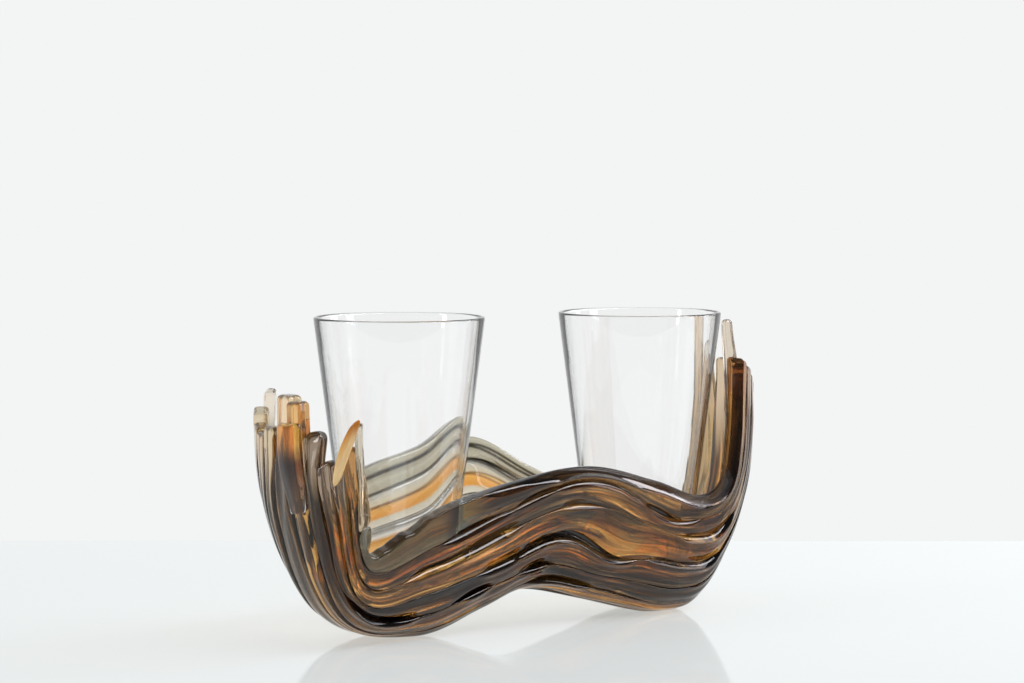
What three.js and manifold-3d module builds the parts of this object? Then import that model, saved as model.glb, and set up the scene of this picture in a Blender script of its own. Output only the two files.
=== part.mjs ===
// A kiln-formed glass cradle, a wavy trough of strips fused side by side, with two lift-out tumblers.
// Millimetres, +Z up, +X along the row of tumblers, front at -Y.
import * as THREE from "three";
import { mergeVertices } from "three/addons/utils/BufferGeometryUtils.js";
import Module from "manifold-3d";

// Tumblers
const RIM_DIAMETER = 85;
const BASE_DIAMETER = 50;
const TUMBLER_HEIGHT = 136;
const TUMBLER_WALL = 2.4;
const TUMBLER_FLOOR = 9;
const HEEL_RADIUS = 3;
const BOWL_CORNER = 4;
const SEAT_CLEARANCE = 0.3;
const TUMBLER_SIDES = 40;
const ARC_STEPS = 2;

// Trough, measured from the tumblers that it carries
const RIM_GAP = 60;
const LEFT_END_MARGIN = 23.5;
const RIGHT_END_MARGIN = 18.5;
const FRONT_MARGIN = 5.5;
const REAR_MARGIN = 7.5;

// Underside, from the left foot over the hump to the right foot
const FLOOR_WIDTH = 16;
const HUMP_RISE = 18;
const HUMP_OFFSET = -7;
const FOOT_GRIND = 0.7;
const LEFT_CORNER_RISE = 11;
const RIGHT_CORNER_RISE = 9;
const LEFT_BEND_HEIGHT = 60;
const RIGHT_BEND_HEIGHT = 68;

// Heights of the front edge
const NOTCH_HEIGHT = 49;
const FRONT_LEFT_HEIGHT = 66;
const FRONT_HUMP_HEIGHT = 81;
const FRONT_RIGHT_HEIGHT = 62;
const FRONT_SLOPE_RISE = 3;
const FRONT_CORNER_RISES = [8, 35];

// Heights of the rear edge
const REAR_NOTCH_HEIGHT = 60;
const REAR_LEFT_HEIGHT = 75;
const REAR_HUMP_HEIGHT = 90;
const REAR_RIGHT_HEIGHT = 54;
const REAR_CORNER_RISES = [4, 36];

// How far along X each guide strays from its stations, which are the top, bend and corner of the left end,
// the left foot, slope, hump, slope and right foot, and the corner, bend and top of the right end
const SPINE_SHIFTS = [-3, 2, 26, 1, 3, 0, 0, 3, -31, -4, -4];
const FRONT_SHIFTS = [18, 18, 23, -6, 7, 20, 20, 8, -36, -32, -31];
const REAR_SHIFTS = [13, 16, 36, 4, 7, 4, 0, 2, -34, -18, -16];

// Glass strips
const STRIP_THICKNESS = 8.5;
const GROOVE_DEPTH = 1.8;
const INNER_GROOVE_DEPTH = 1;
const FUSE_GAP = 0.3;
const TIP_ROUND = 5;
const END_FINGER_LENGTH = 50;
const FLAKE_LENGTH = 70;

// Small pieces fused over the left end, with the heights of their two ends
const OVERLAY_THICKNESS = 4.5;
const OVERLAY_SHARE = 1.5;
const OVERLAY_HEIGHTS = [110, 66];
const LEAF_HEIGHTS = [113, 92];
const LEAF_THICKNESS = 3.5;
const LEAF_WIDTH = 8;
const LEAF_NECK = 4;

// Sweep of the arc that each flank follows, and where the stations lie along the trough
const FLANK_SWEEP = THREE.MathUtils.degToRad(60);
const WALL_SHARE = 0.1;
const FOOT_SHARE = 0.3;
const HUMP_SHARE = 0.5;
const RINGS = 40;
const SECTION_STEPS = 96;
const SLOPE_STEP = 1e-3;
const HALVINGS = 24;
const TIP_ANGLES = [10, 35, 62, 90].map(THREE.MathUtils.degToRad);
const OUTER_SHARES = [0, 0.2, 0.5, 0.8, 1];
const INNER_SHARES = [1, 0.5, 0];

// Strips from the front edge to the rear edge: their widths at the left wall, left foot, hump and right wall,
// and the heights of their left and right tips
const FRONT_NAMES = ["front_edge_strip", ...[2, 3, 4, 5, 6].map((number) => `front_strip_${number}`)];
const REAR_NAMES = [1, 2, 3, 4, 5].map((number) => `rear_strip_${number}`);
const LANE_NAMES = [...FRONT_NAMES, "floor_strip", ...REAR_NAMES];
const FRONT_GLASSES = ["smoky", "smoky", "amber", "smoky", "smoky", "amber"];
const REAR_GLASSES = ["amber", "smoky", "amber", "pale", "pale"];
const LANE_GLASSES = [...FRONT_GLASSES, "smoky", ...REAR_GLASSES];
const WALL_WIDTHS = [4, 6, 7, 7, 8, 10, 13, 9, 10, 9, 9, 8];
const FOOT_WIDTHS = [16, 12, 13, 13, 12, 12, 24, 15, 17, 17, 17, 13];
const HUMP_WIDTHS = [6, 11, 18, 16, 12, 12, 22, 15, 17, 17, 17, 12];
const END_WIDTHS = [9, 9, 10, 9, 9, 9, 11, 10, 10, 10, 9, 8];
const LEFT_TIPS = [111, 99, 93, 92, 106, 120, 122, 106, 102, 105, 112, 121];
const RIGHT_TIPS = [133, 129, 124, 120, 121, 151, 130, 147, 50, 52, 54, 58];

// Fingers that are drawn out differently towards a tip: how deep their faces come to lie there, the share
// of their width that they keep, how far they sway towards the rear, and the length over which they change
const LEFT_FORMS = {
  front_strip_5: { faces: [0, STRIP_THICKNESS], width: 1.45, sway: -2.5, reach: 15 },
  floor_strip: { faces: [2, 10.5], width: 0.9, sway: 0, reach: 40 },
  rear_strip_5: { faces: [5, 10.5], width: 1, sway: 0, reach: 45 },
};
const RIGHT_FORMS = {
  front_strip_6: { faces: [4.5, 9.5], width: 0.6, sway: 0, reach: 45 },
  floor_strip: { faces: [0, 4.5], width: 1, sway: 0, reach: 45 },
  rear_strip_1: { faces: [3.5, 9], width: 0.65, sway: 0, reach: 70 },
};

// The finger under the amber overlay, and the two that the leaf reaches between
const OVERLAY_LANE = LANE_NAMES.indexOf("front_strip_6");
const LEAF_LANES = ["front_edge_strip", "front_strip_3"].map((name) => LANE_NAMES.indexOf(name));

const GLASS = {
  smoky: { color: 0x4a3b30, roughness: 0.12, metalness: 0 },
  amber: { color: 0xb8691f, roughness: 0.1, metalness: 0 },
  pale: { color: 0xd9c4a6, roughness: 0.1, metalness: 0 },
  grey: { color: 0x8d8b84, roughness: 0.15, metalness: 0 },
  clear: { color: 0xe6ece8, roughness: 0.03, metalness: 0 },
};

const wasm = await Module();
wasm.setup();

const leftAxis = -(RIM_DIAMETER + RIM_GAP) / 2;
const rightAxis = (RIM_DIAMETER + RIM_GAP) / 2;
const leftEnd = leftAxis - RIM_DIAMETER / 2 - LEFT_END_MARGIN;
const rightEnd = rightAxis + RIM_DIAMETER / 2 + RIGHT_END_MARGIN;
const frontEdge = -RIM_DIAMETER / 2 - FRONT_MARGIN;
const rearEdge = RIM_DIAMETER / 2 + REAR_MARGIN;
const leftTop = Math.max(...LEFT_TIPS) + TIP_ROUND;
const rightTop = Math.max(...RIGHT_TIPS) + TIP_ROUND;

const stationPlaces = [
  ...[leftEnd, leftEnd, leftEnd, leftAxis],
  ...[(leftAxis + HUMP_OFFSET) / 2, HUMP_OFFSET, (rightAxis + HUMP_OFFSET) / 2],
  ...[rightAxis, rightEnd, rightEnd, rightEnd],
];

// A smooth line along the trough, at one distance from its middle.
function guideLine(y, shifts, heights) {
  const points = heights.map((z, i) => new THREE.Vector3(stationPlaces[i] + shifts[i], y, z));
  return new THREE.CatmullRomCurve3(points, false, "catmullrom");
}

const spine = guideLine(0, SPINE_SHIFTS, [
  ...[leftTop, LEFT_BEND_HEIGHT, LEFT_CORNER_RISE, -FOOT_GRIND],
  ...[HUMP_RISE / 2, HUMP_RISE, HUMP_RISE / 2],
  ...[-FOOT_GRIND, RIGHT_CORNER_RISE, RIGHT_BEND_HEIGHT, rightTop],
]);

const front = guideLine(frontEdge, FRONT_SHIFTS, [
  ...[leftTop, (leftTop + NOTCH_HEIGHT) / 2, NOTCH_HEIGHT, FRONT_LEFT_HEIGHT],
  (FRONT_LEFT_HEIGHT + FRONT_HUMP_HEIGHT) / 2 + FRONT_SLOPE_RISE,
  FRONT_HUMP_HEIGHT,
  (FRONT_RIGHT_HEIGHT + FRONT_HUMP_HEIGHT) / 2,
  ...[FRONT_RIGHT_HEIGHT, ...FRONT_CORNER_RISES.map((rise) => FRONT_RIGHT_HEIGHT + rise), rightTop],
]);

const rear = guideLine(rearEdge, REAR_SHIFTS, [
  ...[leftTop, (leftTop + REAR_NOTCH_HEIGHT) / 2, REAR_NOTCH_HEIGHT, REAR_LEFT_HEIGHT],
  (REAR_LEFT_HEIGHT + REAR_HUMP_HEIGHT) / 2,
  REAR_HUMP_HEIGHT,
  (REAR_RIGHT_HEIGHT + REAR_HUMP_HEIGHT) / 2,
  ...[REAR_RIGHT_HEIGHT, ...REAR_CORNER_RISES.map((rise) => REAR_RIGHT_HEIGHT + rise), rightTop],
]);

// The outline of the trough's outside at one station, from the front edge round to the rear edge.
class Section extends THREE.Curve {
  constructor(station) {
    super();
    this.arcLengthDivisions = SECTION_STEPS;
    this.middle = spine.getPoint(station);
    this.front = front.getPoint(station);
    this.rear = rear.getPoint(station);
  }

  getPoint(share, target = new THREE.Vector3()) {
    const edge = share < 0.5 ? this.front : this.rear;
    const half = FLOOR_WIDTH / 2;
    const flat = half / (half + Math.abs(edge.y));
    const reach = Math.abs(2 * share - 1);
    const side = Math.sign(edge.y);
    if (reach <= flat) return target.set(this.middle.x, (side * half * reach) / flat, this.middle.z);
    const angle = (FLANK_SWEEP * (reach - flat)) / (1 - flat);
    const out = Math.sin(angle) / Math.sin(FLANK_SWEEP);
    const up = (1 - Math.cos(angle)) / (1 - Math.cos(FLANK_SWEEP));
    return target.set(
      THREE.MathUtils.lerp(this.middle.x, edge.x, up),
      side * THREE.MathUtils.lerp(half, Math.abs(edge.y), out),
      THREE.MathUtils.lerp(this.middle.z, edge.z, up),
    );
  }
}

const sections = new Map();
function sectionAt(station) {
  if (!sections.has(station)) sections.set(station, new Section(station));
  return sections.get(station);
}

// A point in the glass: how far along the trough, how far round its section, and how deep from the outside.
function glassPoint(station, round, depth) {
  const section = sectionAt(station);
  const before = sectionAt(Math.max(station - SLOPE_STEP, 0)).getPointAt(round);
  const along = sectionAt(Math.min(station + SLOPE_STEP, 1)).getPointAt(round).sub(before);
  const start = section.getPointAt(Math.max(round - SLOPE_STEP, 0));
  const across = section.getPointAt(Math.min(round + SLOPE_STEP, 1)).sub(start);
  const inwards = along.cross(across).normalize();
  return section.getPointAt(round).addScaledVector(inwards, depth);
}

// The two edges of a lane at one station, as shares of the way round, with half a fuse gap off each.
function laneEdges(lane, station) {
  const { lerp, smoothstep } = THREE.MathUtils;
  const widths = WALL_WIDTHS.map((wall, i) => {
    const left = lerp(wall, FOOT_WIDTHS[i], smoothstep(station, WALL_SHARE, FOOT_SHARE));
    const middle = lerp(left, HUMP_WIDTHS[i], smoothstep(station, FOOT_SHARE, HUMP_SHARE));
    return lerp(middle, END_WIDTHS[i], smoothstep(station, HUMP_SHARE, 1 - WALL_SHARE));
  });
  const sum = (list) => list.reduce((total, width) => total + width, 0);
  const gap = FUSE_GAP / 2 / sectionAt(station).getLength();
  const low = sum(widths.slice(0, lane)) / sum(widths);
  return [low + gap, low + widths[lane] / sum(widths) - gap];
}

// The middle line of a lane on the outside of the trough.
class LaneLine extends THREE.Curve {
  constructor(lane) {
    super();
    this.lane = lane;
    this.arcLengthDivisions = 2 * RINGS;
  }

  getPoint(station) {
    const [low, high] = laneEdges(this.lane, station);
    return sectionAt(station).getPointAt((low + high) / 2);
  }

  // How far along the line a station lies.
  distanceAt(station) {
    const lengths = this.getLengths();
    const place = station * this.arcLengthDivisions;
    const step = Math.min(Math.floor(place), this.arcLengthDivisions - 1);
    return THREE.MathUtils.lerp(lengths[step], lengths[step + 1], place - step);
  }

  // The station where the line passes a value of x or z, between two stations on either side of it.
  stationWhere(coordinate, value, low, high) {
    const rising = this.getPoint(high)[coordinate] > this.getPoint(low)[coordinate];
    for (let i = 0; i < HALVINGS; i++) {
      const middle = (low + high) / 2;
      if (this.getPoint(middle)[coordinate] < value === rising) low = middle;
      else high = middle;
    }
    return (low + high) / 2;
  }

  // The station a distance further along than another, and the two ends of a piece that starts there.
  after(station, distance) {
    return this.getUtoTmapping(0, this.distanceAt(station) + distance);
  }

  run(station, length) {
    return [station, this.after(station, length)];
  }

  leftTip(height) {
    return this.stationWhere("z", height, 0, 2 * WALL_SHARE);
  }

  rightTip(height) {
    return this.stationWhere("z", height, 1 - 2 * WALL_SHARE, 1);
  }
}

// The rings of a strip between two ends, closer together where the tips are rounded,
// each with the share of the full width that it keeps.
function ringPlan(line, from, to, edgesAt) {
  const [start, end] = [line.distanceAt(from), line.distanceAt(to)];
  const tip = (place) => {
    const [low, high] = edgesAt(place);
    const halfWidth = ((high - low) / 2) * sectionAt(place).getLength();
    const round = Math.min(TIP_ROUND, halfWidth, (end - start) / 4);
    return TIP_ANGLES.map((angle) => ({
      reach: round * (1 - Math.cos(angle)),
      keep: 1 - (round / halfWidth) * (1 - Math.sin(angle)),
    }));
  };
  const ring = (distance, keep) => ({ station: line.getUtoTmapping(0, distance), keep });
  const first = tip(from).map(({ reach, keep }) => ring(start + reach, keep));
  const last = tip(to).map(({ reach, keep }) => ring(end - reach, keep));
  const margin = 1 / RINGS / 4;
  const plain = Array.from({ length: RINGS - 1 }, (_, i) => (i + 1) / RINGS)
    .filter((station) => station > first.at(-1).station + margin)
    .filter((station) => station < last.at(-1).station - margin)
    .map((station) => ({ station, keep: 1 }));
  return [...first, ...plain, ...last.reverse()];
}

// One ring of a strip: its crowned outside from edge to edge, then its inside back again.
function ringPoints({ station, keep }, [low, high], [outside, inside], [outerBow, innerBow]) {
  const middle = (outside + inside) / 2;
  const point = (share, face, bow) => {
    const round = THREE.MathUtils.lerp(low, high, 0.5 + (share - 0.5) * keep);
    const depth = face + bow * (2 * share - 1) ** 2;
    return glassPoint(station, round, THREE.MathUtils.lerp(middle, depth, (1 + keep) / 2));
  };
  return [
    ...OUTER_SHARES.map((share) => point(share, outside, outerBow)),
    ...INNER_SHARES.map((share) => point(share, inside, innerBow)),
  ];
}

// A closed solid through rings with the same number of points. The quads of the two side walls, which
// face the neighbouring strips, are split the same way from outside to inside, so that the walls match.
function loft(rings) {
  const count = rings[0].length;
  const points = rings.flat();
  const index = [];
  for (let ring = 0; ring + 1 < rings.length; ring++) {
    for (let i = 0; i < count; i++) {
      const a = ring * count + i;
      const b = ring * count + ((i + 1) % count);
      if (i < count - 1) index.push(a, b, b + count, a, b + count, a + count);
      else index.push(a, b, a + count, b, b + count, a + count);
    }
  }
  const last = points.length - count;
  for (let i = 1; i + 1 < count; i++) {
    index.push(0, i + 1, i, last, last + i, last + i + 1);
  }
  return new THREE.BufferGeometry().setFromPoints(points).setIndex(index);
}

// The same surface with one vertex at each place, so that seams and poles are closed.
function welded(geometry) {
  const bare = geometry.clone();
  bare.deleteAttribute("normal");
  bare.deleteAttribute("uv");
  return mergeVertices(bare);
}

function toSolid(geometry) {
  const closed = welded(geometry);
  const triVerts = new Uint32Array(closed.index.array);
  const vertProperties = closed.attributes.position.array;
  return new wasm.Manifold(new wasm.Mesh({ numProp: 3, vertProperties, triVerts }));
}

function toGeometry(solid) {
  const mesh = solid.getMesh();
  return new THREE.BufferGeometry()
    .setAttribute("position", new THREE.BufferAttribute(mesh.vertProperties, 3))
    .setIndex(new THREE.BufferAttribute(mesh.triVerts, 1));
}

function piece(name, geometry, glass) {
  geometry.computeVertexNormals();
  const mesh = new THREE.Mesh(geometry, new THREE.MeshStandardMaterial(GLASS[glass]));
  mesh.name = name;
  return mesh;
}

// A strip between two stations of a lane, ground flat where it would reach below the feet.
function strip(name, glass, line, [from, to], shape = {}) {
  const {
    edgesAt = (station) => laneEdges(line.lane, station),
    facesAt = () => [0, STRIP_THICKNESS],
    bows = [GROOVE_DEPTH, -INNER_GROOVE_DEPTH],
  } = shape;
  const rings = ringPlan(line, from, to, edgesAt).map((ring) =>
    ringPoints(ring, edgesAt(ring.station), facesAt(ring.station), bows),
  );
  const geometry = loft(rings);
  geometry.computeBoundingBox();
  if (geometry.boundingBox.min.z >= 0) return piece(name, geometry, glass);
  const table = new THREE.BoxGeometry(rightEnd - leftEnd, rearEdge - frontEdge, HUMP_RISE);
  table.translate(0, 0, -HUMP_RISE / 2);
  return piece(name, toGeometry(toSolid(geometry).subtract(toSolid(table))), glass);
}

// The edges and faces of a strip whose fingers are drawn out towards the tips.
function drawnShape(name, line, [from, to]) {
  const { lerp, smoothstep } = THREE.MathUtils;
  const plain = { faces: [0, STRIP_THICKNESS], width: 1, sway: 0, reach: 1 };
  const forms = [LEFT_FORMS[name] ?? plain, RIGHT_FORMS[name] ?? plain];
  const ends = [from, to].map((end) => line.distanceAt(end));
  const blend = (station, pick) => {
    const place = line.distanceAt(station);
    return forms.reduce((value, form, i) => {
      const near = 1 - smoothstep(Math.abs(place - ends[i]), 0, form.reach);
      return lerp(value, pick(form), near);
    }, pick(plain));
  };
  const edgesAt = (station) => {
    const [low, high] = laneEdges(line.lane, station);
    const middle = (low + high) / 2 + blend(station, (form) => form.sway) / sectionAt(station).getLength();
    const half = ((high - low) / 2) * blend(station, (form) => form.width);
    return [middle - half, middle + half];
  };
  const facesAt = (station) => [0, 1].map((face) => blend(station, (form) => form.faces[face]));
  return { edgesAt, facesAt };
}

const cradle = new THREE.Group();
const lines = LANE_NAMES.map((_, lane) => new LaneLine(lane));

// Full strips run from the left tip to the right tip.
lines.slice(1).forEach((line) => {
  const { lane } = line;
  const name = LANE_NAMES[lane];
  const ends = [line.leftTip(LEFT_TIPS[lane]), line.rightTip(RIGHT_TIPS[lane])];
  cradle.add(strip(name, LANE_GLASSES[lane], line, ends, drawnShape(name, line, ends)));
});

// The front edge is three pieces, end to end.
const edgeLine = lines[0];
const fingerEnds = edgeLine.run(edgeLine.leftTip(LEFT_TIPS[0]), END_FINGER_LENGTH);
const flakeEnds = edgeLine.run(edgeLine.after(fingerEnds[1], FUSE_GAP), FLAKE_LENGTH);
const edgeEnds = [edgeLine.after(flakeEnds[1], FUSE_GAP), edgeLine.rightTip(RIGHT_TIPS[0])];
cradle.add(
  strip("clear_end_finger", "pale", edgeLine, fingerEnds),
  strip("front_flake", "grey", edgeLine, flakeEnds),
  strip(LANE_NAMES[0], LANE_GLASSES[0], edgeLine, edgeEnds),
);

// A short amber strip lies over the outside of one finger at the left end.
const overlayLine = lines[OVERLAY_LANE];
const overlayEdges = (station) => {
  const [low, high] = laneEdges(OVERLAY_LANE, station);
  const cut = ((1 - OVERLAY_SHARE) * (high - low)) / 2;
  return [low + cut, high - cut];
};
cradle.add(
  strip("amber_outer_finger", "amber", overlayLine, OVERLAY_HEIGHTS.map((z) => overlayLine.leftTip(z)), {
    edgesAt: overlayEdges,
    facesAt: () => [-FUSE_GAP - OVERLAY_THICKNESS, -FUSE_GAP],
    bows: [GROOVE_DEPTH, 0],
  }),
);

// The leaf slants down across the front fingers, from one lane to another.
const leafLine = lines[LEAF_LANES[0]];
const leafEnds = LEAF_HEIGHTS.map((z) => leafLine.leftTip(z));
const leafEdges = (station) => {
  const { lerp, mapLinear } = THREE.MathUtils;
  const down = mapLinear(station, ...leafEnds, 0, 1);
  const [start, end] = LEAF_LANES.map((lane) => {
    const [low, high] = laneEdges(lane, station);
    return (low + high) / 2;
  });
  const width = lerp(LEAF_NECK, LEAF_WIDTH, Math.sin(Math.PI * down));
  const half = width / 2 / sectionAt(station).getLength();
  return [lerp(start, end, down) - half, lerp(start, end, down) + half];
};
cradle.add(
  strip("amber_leaf", "amber", leafLine, leafEnds, {
    edgesAt: leafEdges,
    facesAt: () => [-FUSE_GAP - LEAF_THICKNESS, -FUSE_GAP],
    bows: [GROOVE_DEPTH, 0],
  }),
);

// The closed outline of a tumbler's glass, from the axis underneath to the axis inside.
function tumblerOutline() {
  const baseRadius = BASE_DIAMETER / 2;
  const rimRadius = RIM_DIAMETER / 2;
  const lip = TUMBLER_WALL / 2;
  const taper = (rimRadius - baseRadius) / (TUMBLER_HEIGHT - lip - HEEL_RADIUS);
  const bowlRadius = baseRadius + taper * (TUMBLER_FLOOR - HEEL_RADIUS) - TUMBLER_WALL;
  const outline = new THREE.Path();
  outline.moveTo(0, 0);
  outline.lineTo(baseRadius - HEEL_RADIUS, 0);
  outline.absarc(baseRadius - HEEL_RADIUS, HEEL_RADIUS, HEEL_RADIUS, -Math.PI / 2, 0, false);
  outline.absarc(rimRadius - lip, TUMBLER_HEIGHT - lip, lip, 0, Math.PI, false);
  outline.absarc(bowlRadius - BOWL_CORNER, TUMBLER_FLOOR + BOWL_CORNER, BOWL_CORNER, 0, -Math.PI / 2, true);
  outline.lineTo(0, TUMBLER_FLOOR);
  return outline.getPoints(ARC_STEPS);
}

// How high a tumbler's base sits when its outside just clears the glass under it.
function seatHeight(axis, outline) {
  cradle.updateMatrixWorld(true);
  const top = leftTop + rightTop;
  const down = new THREE.Vector3(0, 0, -1);
  let seat = 0;
  for (let side = 0; side < TUMBLER_SIDES; side++) {
    const angle = (2 * Math.PI * side) / TUMBLER_SIDES;
    for (const { x: radius, y: height } of outline) {
      const start = new THREE.Vector3(axis + radius * Math.sin(angle), radius * Math.cos(angle), top);
      const [hit] = new THREE.Raycaster(start, down).intersectObject(cradle);
      if (hit) seat = Math.max(seat, hit.point.z - height);
    }
  }
  return seat + SEAT_CLEARANCE;
}

function tumbler(name, axis) {
  const outline = tumblerOutline();
  const lathe = new THREE.LatheGeometry(outline, TUMBLER_SIDES).rotateX(Math.PI / 2);
  const mesh = piece(name, welded(lathe), "clear");
  mesh.position.set(axis, 0, seatHeight(axis, outline));
  return mesh;
}

const assembly = new THREE.Group();
assembly.add(cradle, tumbler("left_tumbler", leftAxis), tumbler("right_tumbler", rightAxis));

// The origin lies under the middle of the whole, on the surface that it stands on.
const bounds = new THREE.Box3().setFromObject(assembly);
const centre = bounds.getCenter(new THREE.Vector3());
assembly.position.set(-centre.x, -centre.y, -bounds.min.z);

const vase = new THREE.Group();
vase.add(assembly);
export default vase;
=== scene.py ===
"""Looks of a kiln-formed glass cradle and the two clear tumblers that stand in its wells.

The solids fix every place and size. This script lays the fused strips again, with their rounded ribs, grooves
and fire-polished tips, turns the tumblers, and dresses all of it as glass on a pale table in a studio.
"""
import logging
import math
from collections.abc import Callable
from dataclasses import dataclass
from enum import Enum
from typing import Any

import bmesh
import bpy
import numpy as np
from mathutils import Matrix, Vector


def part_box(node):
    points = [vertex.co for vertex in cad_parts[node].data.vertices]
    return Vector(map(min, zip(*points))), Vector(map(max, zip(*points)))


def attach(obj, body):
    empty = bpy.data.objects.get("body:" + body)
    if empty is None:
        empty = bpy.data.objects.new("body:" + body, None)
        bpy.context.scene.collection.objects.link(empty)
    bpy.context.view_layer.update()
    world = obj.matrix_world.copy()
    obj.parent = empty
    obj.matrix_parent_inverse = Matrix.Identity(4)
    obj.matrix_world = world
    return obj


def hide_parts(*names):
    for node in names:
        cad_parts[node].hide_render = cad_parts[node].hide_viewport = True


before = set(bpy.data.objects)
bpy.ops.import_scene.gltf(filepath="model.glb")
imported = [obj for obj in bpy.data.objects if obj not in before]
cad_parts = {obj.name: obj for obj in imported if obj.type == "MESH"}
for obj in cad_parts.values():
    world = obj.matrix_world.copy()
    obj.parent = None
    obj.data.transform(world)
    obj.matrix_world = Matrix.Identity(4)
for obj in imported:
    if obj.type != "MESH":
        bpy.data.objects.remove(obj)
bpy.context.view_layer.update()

LOG = logging.getLogger("glass_cradle")
MM = 0.001
TINY = 1e-6

Array = np.ndarray
Pair = tuple[float, float]
Triple = tuple[float, float, float]
Edges = tuple[Array, Array]
Socket = bpy.types.NodeSocket


def linear(colour: str) -> tuple[float, float, float, float]:
    """Turns an sRGB hex colour into linear light, by the curve of the sRGB standard.

    Args:
        colour: Six hex digits after a hash sign.

    Returns:
        Red, green, blue and an alpha of 1.
    """
    shares = [int(colour[i : i + 2], 16) / 255 for i in (1, 3, 5)]
    lit = [s / 12.92 if s <= 0.04045 else ((s + 0.055) / 1.055) ** 2.4 for s in shares]
    return (lit[0], lit[1], lit[2], 1.0)


def smoothstep(value: Array, low: float, high: float) -> Array:
    """Eases each value from 0 at low to 1 at high."""
    share = np.clip((value - low) / (high - low), 0.0, 1.0)
    return share * share * (3 - 2 * share)


def ripple(seed: int, place: Array, longest: float) -> Array:
    """Gives a smooth hand-made waviness along a line.

    Args:
        seed: Chooses the wave.
        place: Distances along the line.
        longest: Length of the longest wave, in the same unit.

    Returns:
        Values from about -1 to 1.
    """
    phases = np.random.default_rng(seed).uniform(0, 2 * math.pi, 3)
    waves = [(1.0, 0.55), (1.9, 0.3), (3.7, 0.15)]
    return sum(size * np.sin(2 * math.pi * rate * place / longest + phase)
               for (rate, size), phase in zip(waves, phases))


def make_object(name: str, shape: bmesh.types.BMesh, material: bpy.types.Material) -> bpy.types.Object:
    """Turns a finished shape into an object of the scene, and frees it.

    Args:
        name: Name of the object and of its mesh.
        shape: The shape, in metres.
        material: What it is made of.

    Returns:
        The new object.
    """
    mesh = bpy.data.meshes.new(name)
    shape.to_mesh(mesh)
    shape.free()
    mesh.materials.append(material)
    made = bpy.data.objects.new(name, mesh)
    bpy.context.scene.collection.objects.link(made)
    return made


class Guide:
    """A smooth line along the trough through its eleven stations."""

    def __init__(self, y: float, xs: Array, zs: list[float]) -> None:
        """Stores the stations.

        Args:
            y: Distance from the middle of the trough, in millimetres.
            xs: Places of the stations along the trough.
            zs: Heights of the stations.
        """
        points = np.array([[x, y, z] for x, z in zip(xs, zs)])
        self.spans = len(points) - 1
        self.points = np.vstack([2 * points[0] - points[1], points, 2 * points[-1] - points[-2]])

    def at(self, stations: Array) -> Array:
        """Finds points on the line.

        Args:
            stations: Shares of the way along, from 0 to 1.

        Returns:
            One point for each station.
        """
        place = np.clip(stations, 0, 1) * self.spans
        step = np.minimum(place.astype(int), self.spans - 1)
        share = (place - step)[:, None]
        before, start, end, after = (self.points[step + i] for i in range(4))
        leave, arrive = (end - before) / 2, (after - start) / 2
        bend = 3 * (end - start) - 2 * leave - arrive
        twist = 2 * (start - end) + leave + arrive
        return start + leave * share + bend * share**2 + twist * share**3


@dataclass(frozen=True)
class Waves:
    """A noise in glass: lengths of its waves along, across and into a strip in metres, its detail and its start."""

    sizes: Triple
    detail: float
    start: Triple = (0.0, 0.0, 0.0)


# Bends carry every streak sideways, and the trend carries the bands through their colours.
BENDS = Waves((0.045, 0.012, 0.012), 2.0)
BANDS = Waves((0.20, 0.0075, 0.012), 2.0)
TREND = Waves((0.11, 0.030, 0.030), 1.0, (3.7, 0.0, 8.3))
THREADS = Waves((0.12, 0.0016, 0.005), 3.0, (7.4, 0.0, 16.6))
# Drawing lines are fine ridges along a strip. Ground glass has pits, coarser here than real so that they show.
RIDGES = Waves((0.05, 0.003, 0.006), 2.0)
PITS = Waves((0.0016, 0.0016, 0.0016), 1.0)
# A mould leaves faint waves in a pressed wall.
MOULD = Waves((0.02, 0.02, 0.02), 1.0)


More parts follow.
